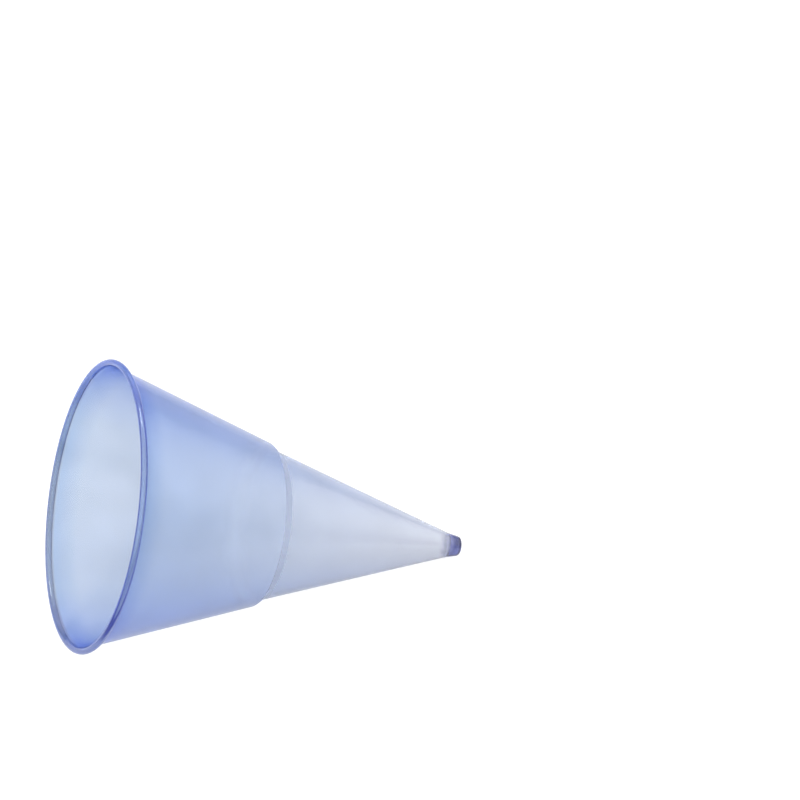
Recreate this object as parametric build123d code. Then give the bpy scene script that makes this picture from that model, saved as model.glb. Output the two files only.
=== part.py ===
from build123d import *
import math
import os

# A cone cup formed from one thin sheet of clear tinted plastic: a rolled lip, a stacking shoulder
# halfway down the wall, and a tip where the sheet gathers into a solid plug. It can't stand on its
# tip, so it lies on its side, touching the floor with its lip and its tip. Millimetres, degrees.

# Whole cup
rim_diameter = 72.0  # over the rolled lip
height = 96.3  # along the axis, from the tip's flat end to the top of the lip
wall = 0.3

# Lip, rolled outwards and down towards the wall
lip_diameter = 1.7  # of the roll's own section
curl_gap = 0.2  # air between the roll's free edge and the wall

# Shoulder, where a cup stacked inside would seat
shoulder_depth = 42.75  # from the top of the lip to the shoulder's upper edge
shoulder_diameter = 40.75  # over its upper edge
shoulder_height = 2.1
shoulder_inset = 1.8  # on the radius, from its upper edge to its lower edge
shoulder_edge_bend = 0.4  # radius on the inner side of the bend at the upper edge, a crisp one
shoulder_foot_bend = 1.0  # and at the lower edge, where the outer face is the inner side of the bend

# Tip
tip_diameter = 6.0  # where the cone meets the plug
plug_height = 3.1
plug_narrowing = 0.65  # on the radius, from the cone down to the flat end
plug_blend = 3.0  # radius between the cone and the plug
tip_corner = 0.7  # radius round the flat end
cavity_round = 1.2  # radius round the cavity's floor


def slope(low, low_radius, high, high_radius):
    """The angle to the axis of the line that passes outside two circles of the section.

    A circle with a negative radius has the line on its inner side.
    """
    across = high[0] - low[0]
    along = high[1] - low[1]
    spread = math.asin((high_radius - low_radius) / math.hypot(across, along))
    return math.degrees(math.atan2(across, along) + spread)


def inwards(point, above, below, depth):
    """The corner of two faces, sloped as given above and below point, when both move in by depth."""
    middle = math.radians((above + below) / 2)
    reach = depth / math.cos(math.radians((above - below) / 2))
    return (point[0] - reach * math.cos(middle), point[1] + reach * math.sin(middle))


# Section of the outer face, as (radius, height) from the centre of the tip's flat end
lip_radius = lip_diameter / 2
curl_radius = lip_radius - wall  # of the hollow in the roll
lip_centre = (rim_diameter / 2 - lip_radius, height - lip_radius)
shoulder_top = (shoulder_diameter / 2, height - shoulder_depth)
shoulder_foot = (shoulder_top[0] - shoulder_inset, shoulder_top[1] - shoulder_height)
plug_top = (tip_diameter / 2, plug_height)
plug_foot = (plug_top[0] - plug_narrowing, 0)

upper_slope = slope(shoulder_top, 0, lip_centre, -curl_radius)
shoulder_slope = slope(shoulder_foot, 0, shoulder_top, 0)
lower_slope = slope(plug_top, 0, shoulder_foot, 0)
plug_slope = slope(plug_foot, 0, plug_top, 0)


def wall_corners(depth):
    """The corners of one face of the wall, from the shoulder's foot up to where the lip's roll begins."""
    return [
        inwards(shoulder_foot, shoulder_slope, lower_slope, depth),
        inwards(shoulder_top, upper_slope, shoulder_slope, depth),
        inwards(lip_centre, upper_slope, upper_slope, curl_radius + depth),
    ]


def lip_roll(radius):
    """One face of the lip's roll, from the wall over the top and round until it nears the wall again."""
    still_open = math.degrees(math.acos((curl_radius - curl_gap) / lip_radius))
    return CenterArc(lip_centre, radius, 180 - upper_slope, arc_size=still_open - 360)


def section():
    """Half of the cup's section through its axis."""
    cavity_radius = plug_top[0] - wall / math.cos(math.radians(lower_slope))
    with BuildSketch(Plane.XZ) as half:
        with BuildLine():
            outer_bends = (tip_corner, plug_blend, shoulder_foot_bend, shoulder_edge_bend + wall)
            inner_bends = (cavity_round, shoulder_foot_bend + wall, shoulder_edge_bend)
            FilletPolyline((0, 0), plug_foot, plug_top, *wall_corners(0), radius=outer_bends)
            FilletPolyline(
                (0, plug_height), (cavity_radius, plug_height), *wall_corners(wall), radius=inner_bends
            )
            under_face = lip_roll(curl_radius)
            top_face = lip_roll(lip_radius)
            Line(under_face @ 1, top_face @ 1)
            Line((0, 0), (0, plug_height))
        make_face()
    return half.sketch


def lean():
    """The angle between the axis and the floor when the lip rests with the tip, or the shoulder, on it."""
    corner_reach = tip_corner * math.tan(math.radians((90 - plug_slope) / 2))
    tip_touch = (plug_foot[0] - corner_reach, tip_corner)
    bend = shoulder_edge_bend + wall
    shoulder_touch = inwards(shoulder_top, upper_slope, shoulder_slope, bend)
    return min(
        slope(tip_touch, tip_corner, lip_centre, lip_radius),
        slope(shoulder_touch, bend, lip_centre, lip_radius),
    )


def laid_down(cup):
    """The cup at rest on the floor, its mouth towards -X and up, centred over the origin."""
    tilted = Rot(0, lean() - 90, 0) * cup
    box = tilted.bounding_box()
    return Pos(-box.center().X, -box.center().Y, -box.min.Z) * tilted


cup = laid_down(revolve(section(), axis=Axis.Z, revolution_arc=360))
cup.label = "cup"

os.makedirs("parts", exist_ok=True)
export_step(cup, "parts/cup.step")
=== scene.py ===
import math

import bmesh
import bpy
from mathutils import Matrix, Vector


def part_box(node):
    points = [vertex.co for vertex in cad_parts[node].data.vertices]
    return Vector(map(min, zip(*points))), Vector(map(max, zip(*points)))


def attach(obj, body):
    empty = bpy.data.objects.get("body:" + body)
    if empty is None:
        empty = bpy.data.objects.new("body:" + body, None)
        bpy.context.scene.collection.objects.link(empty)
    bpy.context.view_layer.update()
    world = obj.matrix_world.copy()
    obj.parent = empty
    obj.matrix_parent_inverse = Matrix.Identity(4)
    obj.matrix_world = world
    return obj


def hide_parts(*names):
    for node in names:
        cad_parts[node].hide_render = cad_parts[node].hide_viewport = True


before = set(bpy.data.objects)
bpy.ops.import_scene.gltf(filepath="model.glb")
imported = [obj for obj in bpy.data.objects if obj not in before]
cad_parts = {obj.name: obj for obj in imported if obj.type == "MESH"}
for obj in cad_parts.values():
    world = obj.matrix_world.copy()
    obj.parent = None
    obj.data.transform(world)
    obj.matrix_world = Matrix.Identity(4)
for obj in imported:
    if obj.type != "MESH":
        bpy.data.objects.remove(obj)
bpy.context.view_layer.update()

# The cup is drawn standing on its tip, in millimetres, as (radius, height), and laid down at the end
cupShape = {
    "rimDiameter": 72.0,
    "height": 96.3,
    "wall": 0.3,
    "lipDiameter": 1.7,
    "curlGap": 0.2,
    "shoulderDepth": 42.75,
    "shoulderDiameter": 40.75,
    "shoulderHeight": 2.1,
    "shoulderInset": 1.8,
    "shoulderEdgeBend": 0.4,
    "shoulderFootBend": 1.0,
    "tipDiameter": 6.0,
    "plugHeight": 3.1,
    "plugNarrowing": 0.65,
    "plugBlend": 3.0,
    "tipCorner": 0.7,
    "cavityRound": 1.2,
    "cutEdge": 0.05,  # the rounding of the sheet's cut edge, inside the curl
    "stepsAround": 216,
    "stepsInCurl": 44,
    "stepsInBend": 8,
    "stepsInCutEdge": 2,
    "longStretch": 20.0,  # a straight stretch of wall longer than this gets rows
    "rowsInWall": 14,
    "roundProfile": 0.5,  # the bevel's setting for a true arc
    "weld": 0.0005,
    "metres": 0.001,
}


# The slope, from the axis, of the line that passes outside two circles of the section
def slopeOf(low, lowRadius, high, highRadius):
    across, along = high[0] - low[0], high[1] - low[1]
    spread = math.asin((highRadius - lowRadius) / math.hypot(across, along))
    return math.atan2(across, along) + spread


# Where two faces that meet at a point cross once both have moved inwards
def movedIn(point, above, below, depth):
    middle, reach = (above + below) / 2, depth / math.cos((above - below) / 2)
    return (point[0] - reach * math.cos(middle), point[1] + reach * math.sin(middle))


# The section's corners and slopes, worked out from the sizes above
def sectionOf(s):
    p = {}
    p["lipRadius"] = s["lipDiameter"] / 2
    p["hollowRadius"] = p["lipRadius"] - s["wall"]
    p["lipCentre"] = (s["rimDiameter"] / 2 - p["lipRadius"], s["height"] - p["lipRadius"])
    p["shoulderTop"] = (s["shoulderDiameter"] / 2, s["height"] - s["shoulderDepth"])
    p["shoulderFoot"] = (p["shoulderTop"][0] - s["shoulderInset"], p["shoulderTop"][1] - s["shoulderHeight"])
    p["plugTop"] = (s["tipDiameter"] / 2, s["plugHeight"])
    p["plugFoot"] = (p["plugTop"][0] - s["plugNarrowing"], 0.0)
    p["upper"] = slopeOf(p["shoulderTop"], 0, p["lipCentre"], -p["hollowRadius"])
    p["shoulder"] = slopeOf(p["shoulderFoot"], 0, p["shoulderTop"], 0)
    p["lower"] = slopeOf(p["plugTop"], 0, p["shoulderFoot"], 0)
    p["plug"] = slopeOf(p["plugFoot"], 0, p["plugTop"], 0)
    return p


# How far the axis leans from the floor when the lip and the tip's corner both rest on it
def leanOf(s, p):
    back = s["tipCorner"] * math.tan((math.pi / 2 - p["plug"]) / 2)
    touch = (p["plugFoot"][0] - back, s["tipCorner"])
    return slopeOf(touch, s["tipCorner"], p["lipCentre"], p["lipRadius"])


# The corners of one face of the wall, from the shoulder's foot up to where the lip's roll begins
def wallCorners(p, depth):
    return [
        movedIn(p["shoulderFoot"], p["shoulder"], p["lower"], depth),
        movedIn(p["shoulderTop"], p["upper"], p["shoulder"], depth),
        movedIn(p["lipCentre"], p["upper"], p["upper"], p["hollowRadius"] + depth),
    ]


# A run of corners, each but the two ends rounded by its own radius
def roundedRun(bm, points, radii, s):
    verts = [bm.verts.new((r, 0.0, h)) for r, h in points]
    for pair in zip(verts, verts[1:]):
        bm.edges.new(pair)
    for vert, radius in zip(verts[1:], radii):
        arms = [(e.other_vert(vert).co - vert.co).normalized() for e in vert.link_edges]
        turn = math.pi - arms[0].angle(arms[1])
        bmesh.ops.bevel(
            bm, geom=[vert], affect="VERTICES", offset=radius * math.tan(turn / 2),
            offset_type="OFFSET", segments=s["stepsInBend"], profile=s["roundProfile"], material=-1,
        )


# The lip's roll, spun from the end of a run round the lip's centre, and its last vertex
def rolledEnd(bm, end, s, p):
    start = Vector((end[0], 0.0, end[1]))
    last = min(bm.verts, key=lambda v: (v.co - start).length)
    stillOpen = math.acos((p["hollowRadius"] - s["curlGap"]) / p["lipRadius"])
    curl = bmesh.ops.spin(
        bm, geom=[last], cent=(p["lipCentre"][0], 0.0, p["lipCentre"][1]), axis=(0.0, 1.0, 0.0),
        angle=2 * math.pi - stillOpen, steps=s["stepsInCurl"], use_merge=False, use_duplicate=False,
    )
    return [v for v in curl["geom_last"] if isinstance(v, bmesh.types.BMVert)]


# Half of the cup's section: the outer and the inner face, each with its roll, joined at the cut edge
def drawSection(bm, s, p):
    cavity = s["tipDiameter"] / 2 - s["wall"] / math.cos(p["lower"])
    outer = [(0.0, 0.0), p["plugFoot"], p["plugTop"], *wallCorners(p, 0.0)]
    inner = [(0.0, s["plugHeight"]), (cavity, s["plugHeight"]), *wallCorners(p, s["wall"])]
    edge, foot = s["shoulderEdgeBend"], s["shoulderFootBend"]
    outerRadii = (s["tipCorner"], s["plugBlend"], foot, edge + s["wall"])
    innerRadii = (s["cavityRound"], foot + s["wall"], edge)
    ends = []
    for points, radii in ((outer, outerRadii), (inner, innerRadii)):
        roundedRun(bm, points, radii, s)
        ends += rolledEnd(bm, points[-1], s, p)
    bm.edges.new(ends)
    bmesh.ops.bevel(
        bm, geom=ends, affect="VERTICES", offset=s["cutEdge"], offset_type="OFFSET",
        segments=s["stepsInCutEdge"], profile=s["roundProfile"], material=-1,
    )


# The section turned once round the axis, with rows along its long straight stretches
def turnSection(bm, s):
    long = [e for e in bm.edges if e.calc_length() > s["longStretch"]]
    bmesh.ops.subdivide_edges(bm, edges=long, cuts=s["rowsInWall"])
    bmesh.ops.spin(
        bm, geom=bm.verts[:] + bm.edges[:], cent=(0.0, 0.0, 0.0), axis=(0.0, 0.0, 1.0),
        angle=2 * math.pi, steps=s["stepsAround"], use_merge=True, use_duplicate=False,
    )
    bmesh.ops.remove_doubles(bm, verts=bm.verts[:], dist=s["weld"])
    bmesh.ops.recalc_face_normals(bm, faces=bm.faces[:])
    for face in bm.faces:
        face.smooth = True


# Laid down so that the lip and the tip touch the floor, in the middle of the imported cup's own box
def layDown(bm, lean, s):
    lay = Matrix.Rotation(lean - math.pi / 2, 4, "Y") @ Matrix.Scale(s["metres"], 4)
    bmesh.ops.transform(bm, matrix=lay, verts=bm.verts[:])
    low, high = (Vector(c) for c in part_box("cup"))
    xs = [v.co.x for v in bm.verts]
    zs = [v.co.z for v in bm.verts]
    place = Vector(((low.x + high.x) / 2 - (min(xs) + max(xs)) / 2, 0.0, low.z - min(zs)))
    bmesh.ops.translate(bm, vec=place, verts=bm.verts[:])
    return place


# A new object of the given name that holds the mesh drawn so far
def addObject(name, bm):
    mesh = bpy.data.meshes.new(name)
    bm.to_mesh(mesh)
    bm.free()
    piece = bpy.data.objects.new(name, mesh)
    bpy.context.scene.collection.objects.link(piece)
    return piece


def buildCup(s):
    p = sectionOf(s)
    lean = leanOf(s, p)
    bm = bmesh.new()
    drawSection(bm, s, p)
    turnSection(bm, s)
    place = layDown(bm, lean, s)
    cup = addObject("coneCup", bm)
    print("cup:", len(cup.data.vertices), "vertices,", len(cup.data.polygons), "faces, lean",
          round(math.degrees(lean), 3), "place", [round(v, 5) for v in place])
    return cup, lean, place


# The plastic. Its fade, blends and band are in millimetres along the standing cup, and the places and rises
# of its marks and lines in metres. The sheet's tint is taken to the power of a depth: the thicker the sheet,
# the deeper it tints.
plastic = {
    "sheetTint": (0.55, 0.70, 0.90),  # at depth 1, in the deep band just below the lip
    "sheetEdgeTint": (0.05, 0.15, 1.00),  # and the same seen edge-on
    "lowDepth": 0.03,  # just above the plug
    "belowDepth": 0.20,  # just below the shoulder
    "aboveDepth": 0.30,  # just above it
    "ringDepth": 0.15,  # on the shoulder's ring, which is drawn furthest
    "highDepth": 0.50,  # where the deep band below the lip starts
    "lipDepth": 0.90,
    "plugTint": (0.35, 0.35, 0.45),
    "plugEdgeTint": (0.20, 0.20, 0.35),
    "plugHaze": 0.05,  # these are roughnesses
    "lowHaze": 0.10,
    "wallHaze": 0.18,
    "ringHaze": 0.35,  # the ring is the milkiest
    "lipHaze": 0.03,
    "plugFade": (-1.0, 1.0),  # from the plug's top: where its tint starts to fade, and where it ends
    "ringBlend": 0.2,  # half the height over which the tint changes at each edge of the ring
    "lipBlend": 0.4,  # and the same where the wall passes into the lip
    "deepBand": 5.5,  # how far the deep tint reaches down from the lip
    "facingBlend": 0.5,  # Layer Weight's own middle setting
    "slant": (0.18, 1.0),  # from how slanted a view the edge-on tint comes in, and where it is full
    "shadeLineSlants": (0.23, 0.31, 0.42, 0.53),  # the slants where the roll's painted dark lines begin, are full and end: painted shade that the clear roll would show by refraction
    # the colour of the painted shade lines along the roll
    "shadeLineTint": (0.04, 0.07, 0.50),
    "shadeLineSide": (0.34, -0.94, 0.0),  # towards where, on the standing cup, the painted lines are deepest; they are faint where the lip catches the light
    "shadeLineRise": (-0.005, 0.026),  # from how far that way the painted lines deepen, and where they are deepest
    "shadeLineFaint": 0.32,  # how deep the painted lines are elsewhere
    "lipShadeGrey": (0.93, 0.88, 0.84),  # painted shade: the lip is greyer along the side that lies low, near the floor
    "lipShadeRise": (0.005, -0.022),  # on the standing cup's X: where the painted shade begins, and where it is full
    "absorb": (0.50, 0.60, 0.93, 1.0),
    "density": 650.0,
    "ior": 1.49,
    "noiseDetail": 1.0,
    "noiseSpan": (0.3, 0.7),  # the range of a noise that is spread over a change of tint or haze
    "streaks": 60.0,  # fineness of the faint streaks that forming draws along the wall
    "streakHeight": 0.000005,
    "hazeChange": (0.90, 1.10),  # how the roughness changes with the streaks
    "ripples": 120.0,  # fineness of the slight waviness of the sheet
    "rippleHeight": 0.000003,
    "clouds": 75.0,  # fineness of the cloudy changes of tint
    "cloudDetail": 2.0,
    "cloudTint": (0.96, 1.03),
    "gathers": 420.0,  # fineness of the painted highlights and shade in the plug: lighter and darker patches
    "plugPatchSeed": 8.5,
    "plugPatchSpan": (0.35, 0.65),
    # how much darker and lighter the painted patches make the plug
    "plugPatchTint": (0.60, 1.50),
    "plugPatchFade": (0.0028, 0.0042),  # heights over which the painted patches end, in metres
    "speckPlace": (0.0237, -0.0205, 0.0867),  # on the standing cup
    "speckReach": 0.0012,
    "speckDepth": 0.05,
    "clear": 0.81,
}


# A new node of the given kind with its inputs and settings filled in
def addNode(tree, kind, inputs=(), **settings):
    node = tree.nodes.new("ShaderNode" + kind)
    for key, value in settings.items():
        setattr(node, key, value)
    for key, value in dict(inputs).items():
        socket = next(i for i in node.inputs if i.enabled and key in (i.identifier, i.name))
        if hasattr(value, "is_output"):
            tree.links.new(value, socket)
        else:
            socket.default_value = value
    return node


# The one output of a node that is in use
def result(node):
    return next(o for o in node.outputs if o.enabled)


# A value carried from one span to another
def carried(tree, value, span, to=(0.0, 1.0), **settings):
    return result(addNode(tree, "MapRange", {
        "Value": value, "From Min": span[0], "From Max": span[1], "To Min": to[0], "To Max": to[1],
    }, **settings))


# The product of two values
def product(tree, one, other):
    return result(addNode(tree, "Math", {"Value": one, "Value_001": other}, operation="MULTIPLY"))


# A noise of the given fineness, in four dimensions where the fourth is given
def addNoise(tree, vector, fineness, detail, fourth=None):
    inputs = {"Vector": vector, "Scale": fineness, "Detail": detail}
    if fourth is None:
        return addNode(tree, "TexNoise", inputs).outputs["Fac"]
    return addNode(tree, "TexNoise", {**inputs, "W": fourth}, noise_dimensions="4D").outputs["Fac"]


# A colour ramp whose stops are given as (place, colour)
def addRamp(tree, value, stops):
    ramp = addNode(tree, "ValToRGB", {"Fac": value})
    marks = ramp.color_ramp.elements
    marks[0].position, marks[-1].position = stops[0][0], stops[-1][0]
    for at, colour in stops[1:-1]:
        marks.new(at)
    for mark, (at, colour) in zip(marks, stops):
        mark.color = (*colour, 1.0) if isinstance(colour, tuple) else (colour, colour, colour, 1.0)
    return ramp.outputs["Color"]


# The finish along the height, as (height, tint square on, tint edge-on, roughness)
def finishStops(q, s, p, lipFrom):
    def plug(height):
        return (height, q["plugTint"], q["plugEdgeTint"], q["plugHaze"])

    def sheet(height, depth, haze):
        square = tuple(part ** depth for part in q["sheetTint"])
        edgeOn = tuple(part ** depth for part in q["sheetEdgeTint"])
        return (height, square, edgeOn, haze)

    ringLow, ringHigh = p["shoulderFoot"][1], p["shoulderTop"][1]
    return [
        plug(0.0),
        plug(s["plugHeight"] + q["plugFade"][0]),
        sheet(s["plugHeight"] + q["plugFade"][1], q["lowDepth"], q["lowHaze"]),
        sheet(ringLow - q["ringBlend"], q["belowDepth"], q["wallHaze"]),
        sheet(ringLow + q["ringBlend"], q["ringDepth"], q["ringHaze"]),
        sheet(ringHigh - q["ringBlend"], q["ringDepth"], q["ringHaze"]),
        sheet(ringHigh + q["ringBlend"], q["aboveDepth"], q["wallHaze"]),
        sheet(lipFrom - q["deepBand"], q["highDepth"], q["wallHaze"]),
        sheet(lipFrom - q["lipBlend"], 1.0, q["wallHaze"]),
        sheet(lipFrom + q["lipBlend"], q["lipDepth"], q["lipHaze"]),
        sheet(s["height"], q["lipDepth"], q["lipHaze"]),
    ]


# The lip's tint with painted shade: greyer along the side that lies low, and painted dark lines along each
# side of the clear roll, standing in for the shade it shows by refraction
def tintAndShadeLip(tree, q, tint, facing, upright, parts, lipFrom):
    onLip = addNode(tree, "Math", {"Value": parts["Z"], "Value_001": lipFrom}, operation="GREATER_THAN")
    # painted shade: greyer along the lip's low side
    low = product(tree, onLip.outputs["Value"], carried(tree, parts["X"], q["lipShadeRise"]))
    lipShaded = addNode(tree, "Mix", {
        "Factor": low, "A": tint, "B": (*q["lipShadeGrey"], 1.0),
    }, data_type="RGBA", blend_type="MULTIPLY")

    untinted = (1.0, 1.0, 1.0)
    # painted shade: dark lines where the roll is seen at these slants, as its refraction would show shade
    begin, full, fade, end = q["shadeLineSlants"]
    paintedLines = addRamp(tree, facing, [
        (0.0, untinted), (begin, untinted), (full, q["shadeLineTint"]),
        (fade, q["shadeLineTint"]), (end, untinted), (1.0, untinted),
    ])
    # the painted lines are deepest on one side and faint where the lip catches the light
    towardsDeepShade = addNode(tree, "VectorMath", {
        "Vector": upright, "Vector_001": q["shadeLineSide"],
    }, operation="DOT_PRODUCT")
    depth = carried(
        tree, towardsDeepShade.outputs["Value"], q["shadeLineRise"], (q["shadeLineFaint"], 1.0), interpolation_type="SMOOTHSTEP",
    )
    lineShaded = addNode(tree, "Mix", {
        "Factor": product(tree, onLip.outputs["Value"], depth), "A": result(lipShaded), "B": paintedLines,
    }, data_type="RGBA", blend_type="MULTIPLY")
    return result(lineShaded)


# How much the tint changes with the clouds, the one speck, and the painted highlights and shade in the plug
def tintMarksAndPlugLight(tree, q, upright, parts):
    clouds = addNoise(tree, upright, q["clouds"], q["cloudDetail"])
    cloudy = carried(tree, clouds, q["noiseSpan"], q["cloudTint"])
    fromSpeck = addNode(tree, "VectorMath", {
        "Vector": upright, "Vector_001": q["speckPlace"],
    }, operation="DISTANCE")
    speck = carried(
        tree, fromSpeck.outputs["Value"], (0.0, q["speckReach"]), (1.0 - q["speckDepth"], 1.0),
        interpolation_type="SMOOTHSTEP",
    )
    # painted highlights and shade: lighter and darker patches over the plug
    gathers = addNoise(tree, upright, q["gathers"], q["noiseDetail"], q["plugPatchSeed"])
    plug = addNode(tree, "Mix", {
        "Factor": carried(tree, parts["Z"], q["plugPatchFade"], (1.0, 0.0)),
        "A": 1.0,
        "B": carried(tree, gathers, q["plugPatchSpan"], q["plugPatchTint"]),
    }, data_type="FLOAT")
    return product(tree, product(tree, cloudy, speck), result(plug))


# Streaks that forming draws out along the wall: a noise over the direction from the axis and the height
def wallStreaks(tree, q, parts):
    flat = addNode(tree, "CombineXYZ", {"X": parts["X"], "Y": parts["Y"]})
    ring = addNode(tree, "VectorMath", {"Vector": flat.outputs["Vector"]}, operation="NORMALIZE")
    return addNoise(tree, ring.outputs["Vector"], q["streaks"], q["noiseDetail"], parts["Z"])


# The bump of the sheet's waviness, with the streaks on top
def sheetBump(tree, q, upright, streaks):
    ripples = addNoise(tree, upright, q["ripples"], q["noiseDetail"])
    rippled = addNode(tree, "Bump", {"Height": ripples, "Distance": q["rippleHeight"]})
    drawn = addNode(tree, "Bump", {
        "Height": streaks, "Distance": q["streakHeight"], "Normal": rippled.outputs["Normal"],
    })
    return drawn.outputs["Normal"]


def makePlastic(q, s, lean, place):
    mat = bpy.data.materials.new("tintedPlastic")
    mat.use_nodes = True
    tree = mat.node_tree
    tree.nodes.clear()
    out = addNode(tree, "OutputMaterial")

    # The point's place on the standing cup
    stood = addNode(tree, "Mapping", {
        "Vector": addNode(tree, "TexCoord").outputs["Object"],
        "Location": place,
        "Rotation": (0.0, lean - math.pi / 2, 0.0),
    }, vector_type="TEXTURE")
    upright = stood.outputs["Vector"]
    parts = addNode(tree, "SeparateXYZ", {"Vector": upright}).outputs

    p = sectionOf(s)
    lipFrom = p["lipCentre"][1] - p["lipRadius"]
    stops = finishStops(q, s, p, lipFrom)
    along = carried(tree, parts["Z"], (0.0, s["height"] * s["metres"]))
    square, edgeOn, roughness = (
        addRamp(tree, along, [(stop[0] / s["height"], stop[kind]) for stop in stops]) for kind in (1, 2, 3)
    )
    facing = addNode(tree, "LayerWeight", {"Blend": q["facingBlend"]}).outputs["Facing"]
    slanted = addNode(tree, "Mix", {
        "Factor": carried(tree, facing, q["slant"]), "A": square, "B": edgeOn,
    }, data_type="RGBA")
    tint = tintAndShadeLip(tree, q, result(slanted), facing, upright, parts, lipFrom * s["metres"])
    # the tint with its marks, the painted highlights and shade in the plug, and the lip's painted shade
    markedAndShaded = addNode(tree, "VectorMath", {
        "Vector": tint, "Scale": tintMarksAndPlugLight(tree, q, upright, parts),
    }, operation="SCALE")

    streaks = wallStreaks(tree, q, parts)
    hazy = product(tree, roughness, carried(tree, streaks, q["noiseSpan"], q["hazeChange"]))
    body = addNode(tree, "BsdfPrincipled", {
        "Base Color": markedAndShaded.outputs["Vector"], "Roughness": hazy, "IOR": q["ior"],
        "Transmission Weight": q["clear"], "Normal": sheetBump(tree, q, upright, streaks),
    })
    soak = addNode(tree, "VolumeAbsorption", {"Color": q["absorb"], "Density": q["density"]})
    tree.links.new(body.outputs["BSDF"], out.inputs["Surface"])
    tree.links.new(soak.outputs["Volume"], out.inputs["Volume"])
    return mat


cup, lean, place = buildCup(cupShape)
cup.data.materials.append(makePlastic(plastic, cupShape, lean, place))
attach(cup, "root")
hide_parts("cup")
print("cup placed")

# A white floor that gives light itself, so the cup casts next to no shadow on it
floorLook = {
    "size": 6.0,
    "colour": (0.30, 0.30, 0.30, 1.0),
    "glow": 0.52,  # how strongly it lights the cup, near the cup and far from it
    "farGlow": 0.05,
    "reach": (0.12, 0.24),  # where the lit patch starts to fall off, and where it ends
    "centre": (0.023, 0.015, 0.0),
    "seen": 0.88,  # it shows white in the picture, as the photo's ground does
}


def makeFloor(q):
    bm = bmesh.new()
    bmesh.ops.create_grid(bm, x_segments=1, y_segments=1, size=q["size"] / 2)
    floor = addObject("floor", bm)
    mat = bpy.data.materials.new("paleFloor")
    mat.use_nodes = True
    tree = mat.node_tree
    around = addNode(tree, "VectorMath", {
        "Vector": addNode(tree, "TexCoord").outputs["Object"], "Vector_001": q["centre"],
    }, operation="DISTANCE")
    glow = carried(
        tree, around.outputs["Value"], q["reach"], (q["glow"], q["farGlow"]), interpolation_type="SMOOTHSTEP",
    )
    shown = addNode(tree, "Mix", {
        "Factor": addNode(tree, "LightPath").outputs["Is Camera Ray"], "A": glow, "B": q["seen"],
    }, data_type="FLOAT")
    body = tree.nodes["Principled BSDF"]
    body.inputs["Base Color"].default_value = q["colour"]
    body.inputs["Roughness"].default_value = 1.0
    body.inputs["Specular IOR Level"].default_value = 0.0
    body.inputs["Emission Color"].default_value = (1.0, 1.0, 1.0, 1.0)
    tree.links.new(result(shown), body.inputs["Emission Strength"])
    floor.data.materials.append(mat)
    return floor


floor = makeFloor(floorLook)

# A soft dome, bright overhead and dark at its sides, which gives the clear plastic its contrast
skyLook = {
    "zenith": 1.66,
    "horizon": 0.05,
    "rise": (0.0, 0.48),  # how far up it starts to brighten, and where it is as bright as overhead
    "backdrop": 1.0,  # how bright it is where the picture shows it
}


def makeSky(q):
    world = bpy.data.worlds.new("studio")
    bpy.context.scene.world = world
    world.use_nodes = True
    tree = world.node_tree
    ray = addNode(tree, "TexCoord")
    up = addNode(tree, "SeparateXYZ", {"Vector": ray.outputs["Generated"]}).outputs["Z"]
    dome = carried(tree, up, q["rise"], (q["horizon"], q["zenith"]), interpolation_type="SMOOTHSTEP")
    seen = addNode(tree, "Mix", {
        "Factor": addNode(tree, "LightPath").outputs["Is Camera Ray"], "A": dome, "B": q["backdrop"],
    }, data_type="FLOAT")
    tree.links.new(result(seen), tree.nodes["Background"].inputs["Strength"])
    tree.nodes["Background"].inputs["Color"].default_value = (1.0, 1.0, 1.0, 1.0)


makeSky(skyLook)

# A softbox high behind the cup, which glints on the lip, and where it hangs: degrees and metres
backBox = {
    "turn": 24.0,
    "height": 59.0,
    "distance": 1.0,
    "target": (0.0, 0.0, 0.03),
    "size": 0.22,
    "power": 1.5,
}


def hangSoftBox(name, q):
    turn, height = math.radians(q["turn"]), math.radians(q["height"])
    away = Vector((-math.sin(turn) * math.cos(height), math.cos(turn) * math.cos(height), math.sin(height)))
    data = bpy.data.lights.new(name, "AREA")
    data.shape, data.size, data.energy = "SQUARE", q["size"], q["power"]
    lamp = bpy.data.objects.new(name, data)
    bpy.context.scene.collection.objects.link(lamp)
    lamp.location = Vector(q["target"]) + away * q["distance"]
    lamp.rotation_euler = away.to_track_quat("Z", "Y").to_euler()


hangSoftBox("backBox", backBox)
print("studio lit")

cameraView = {
    "elevation": 45.275,
    "azimuth": -10.744,
    "distance": 1.4,
    "aim": (0.040274, 0.021971, 0.034),
    "lens": 255.253,
    "sensor": 36.0,
    "seesTo": 20.0,
}


def placeCamera(q):
    turn, height = math.radians(q["azimuth"]), math.radians(q["elevation"])
    back = Vector((math.sin(turn) * math.cos(height), -math.cos(turn) * math.cos(height), math.sin(height)))
    data = bpy.data.cameras.new("camera")
    data.lens, data.sensor_width, data.clip_end = q["lens"], q["sensor"], q["seesTo"]
    camera = bpy.data.objects.new("camera", data)
    bpy.context.scene.collection.objects.link(camera)
    camera.location = Vector(q["aim"]) + back * q["distance"]
    camera.rotation_euler = (-back).to_track_quat("-Z", "Y").to_euler()
    bpy.context.scene.camera = camera


placeCamera(cameraView)
bpy.context.scene.view_settings.view_transform = "Standard"
